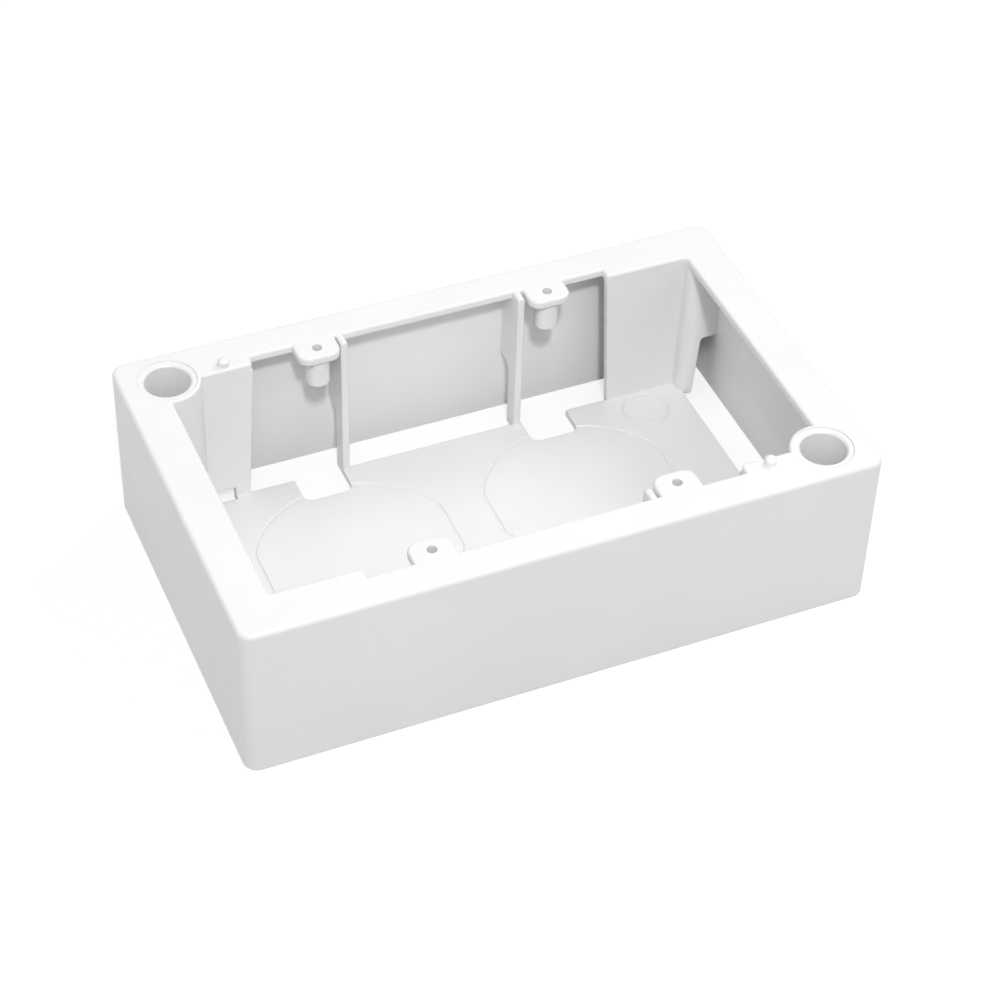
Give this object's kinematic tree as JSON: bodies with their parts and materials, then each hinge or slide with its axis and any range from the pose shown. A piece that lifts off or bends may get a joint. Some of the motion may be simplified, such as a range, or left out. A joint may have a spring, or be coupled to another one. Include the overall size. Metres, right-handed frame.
{
  "type": "surface mount box",
  "caption": "Deep open-fronted rectangular box that carries a faceplate of data outlets on a wall, with screw tabs, wall-screw wells and knock-outs.",
  "frame": {"origin": "centre of the back face, the one that lies on the wall", "axes": "+X along the long side, +Y along the short side, +Z out of the wall through the open front"},
  "size_m": [0.176, 0.1084, 0.0503],
  "materials": {
    "white_plastic": "satin, moulded white"
  },
  "bodies": {
    "root": {"surface_mount_box": "white_plastic"}
  },
  "joints": []
}
